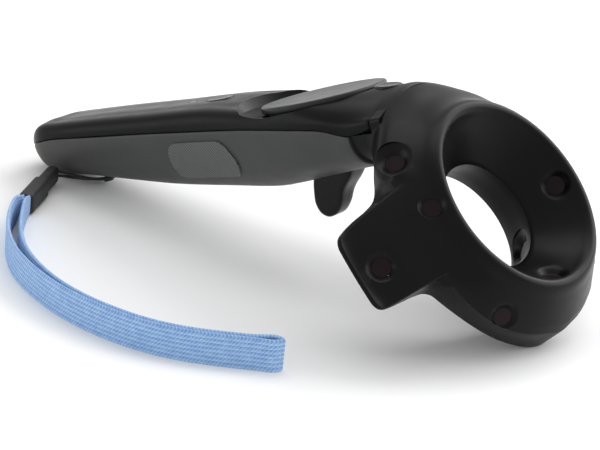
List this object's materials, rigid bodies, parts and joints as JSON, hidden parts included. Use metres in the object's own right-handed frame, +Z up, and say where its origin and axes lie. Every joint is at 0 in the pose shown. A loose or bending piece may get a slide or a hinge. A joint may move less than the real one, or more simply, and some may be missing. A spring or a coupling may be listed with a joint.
{
  "type": "motion controller wand",
  "caption": "Hand-held motion controller wand with a tracked ring head, round touch pad, buttons, finger trigger, grip buttons and a wrist strap on a thin cord.",
  "frame": {"origin": "on the table, below the middle of the wand's length, in its mirror plane", "axes": "+X from the tail towards the ring head, +Y to the left of the hand, +Z up from the table it rests on"},
  "size_m": [0.2138, 0.1608, 0.0689],
  "materials": {
    "black_cover": "satin, fine texture",
    "grey_cover": "matte, fine texture",
    "dark_trim": "matte",
    "pad_face": "smooth satin",
    "gloss_black": "gloss",
    "grip_face": "fine slanted ribs",
    "light_lens": "milky",
    "sensor_window": "dark infrared window, gloss",
    "circuit_board": "satin",
    "switch_body": "satin",
    "sensor_chip": "gloss",
    "frame_plastic": "matte",
    "steel": "brushed",
    "battery_wrap": "satin",
    "cord": "braided",
    "strap": "woven",
    "sleeve_rubber": "matte"
  },
  "bodies": {
    "wand": {"top_shell": "black_cover", "head_front_shell": "black_cover", "head_rear_shell": "black_cover", "bottom_shell": "grey_cover", "neck_collar": "dark_trim", "strap_anchor": "dark_trim", "status_light": "light_lens", "light_pipe": "light_lens", "sensor_windows_outer": "sensor_window", "sensor_windows_funnel": "sensor_window", "sensor_windows_bore": "sensor_window", "sensor_windows_rear": "sensor_window", "menu_board": "circuit_board", "main_board": "circuit_board", "sensor_ring_board": "circuit_board", "trackpad_switch": "switch_body", "menu_switch": "switch_body", "system_switch": "switch_body", "grip_switches": "switch_body", "trigger_switch": "switch_body", "sensor_chips": "sensor_chip", "inner_frame": "frame_plastic", "trackpad_deck": "frame_plastic", "trigger_bracket": "frame_plastic", "trigger_pin": "steel", "trigger_spring": "steel", "board_screws": "steel", "head_screws": "steel", "usb_port": "steel", "haptic_motor": "steel", "battery": "battery_wrap", "lanyard_cord": "cord", "wrist_strap": "strap", "strap_sleeve": "sleeve_rubber"},
    "touch_pad": {"trackpad_disc": "pad_face", "trackpad_board": "circuit_board"},
    "menu_key": {"menu_button": "gloss_black"},
    "system_key": {"system_button": "gloss_black"},
    "grip_key_right": {"grip_button_right": "grip_face"},
    "grip_key_left": {"grip_button_left": "grip_face"},
    "trigger_lever": {"trigger": "gloss_black"}
  },
  "joints": [
    {"name": "pad_press", "type": "slide", "parent": "wand", "child": "touch_pad", "axis": [0.3939, 0, -0.9191], "range_m": [0, 0.0006], "stiffness_N_per_m": 2500, "springref_m": -0.0002},
    {"name": "menu_press", "type": "slide", "parent": "wand", "child": "menu_key", "axis": [0.279, 0, -0.9603], "range_m": [0, 0.0004], "stiffness_N_per_m": 2500, "springref_m": -0.0002},
    {"name": "system_press", "type": "slide", "parent": "wand", "child": "system_key", "axis": [0.3518, 0, -0.9361], "range_m": [0, 0.0004], "stiffness_N_per_m": 2500, "springref_m": -0.0002},
    {"name": "grip_press_right", "type": "slide", "parent": "wand", "child": "grip_key_right", "axis": [0, 1, 0], "range_m": [0, 0.0008], "stiffness_N_per_m": 1500, "springref_m": -0.0002},
    {"name": "grip_press_left", "type": "slide", "parent": "wand", "child": "grip_key_left", "axis": [0, -1, 0], "range_m": [0, 0.0008], "stiffness_N_per_m": 1500, "springref_m": -0.0002},
    {"name": "trigger_pull", "type": "hinge", "parent": "wand", "child": "trigger_lever", "pos_m": [0.0181, 0, 0.04535], "axis": [0, 1, 0], "range_deg": [0, 16], "stiffness_Nm_per_rad": 0.08, "springref_deg": -5.73}
  ]
}
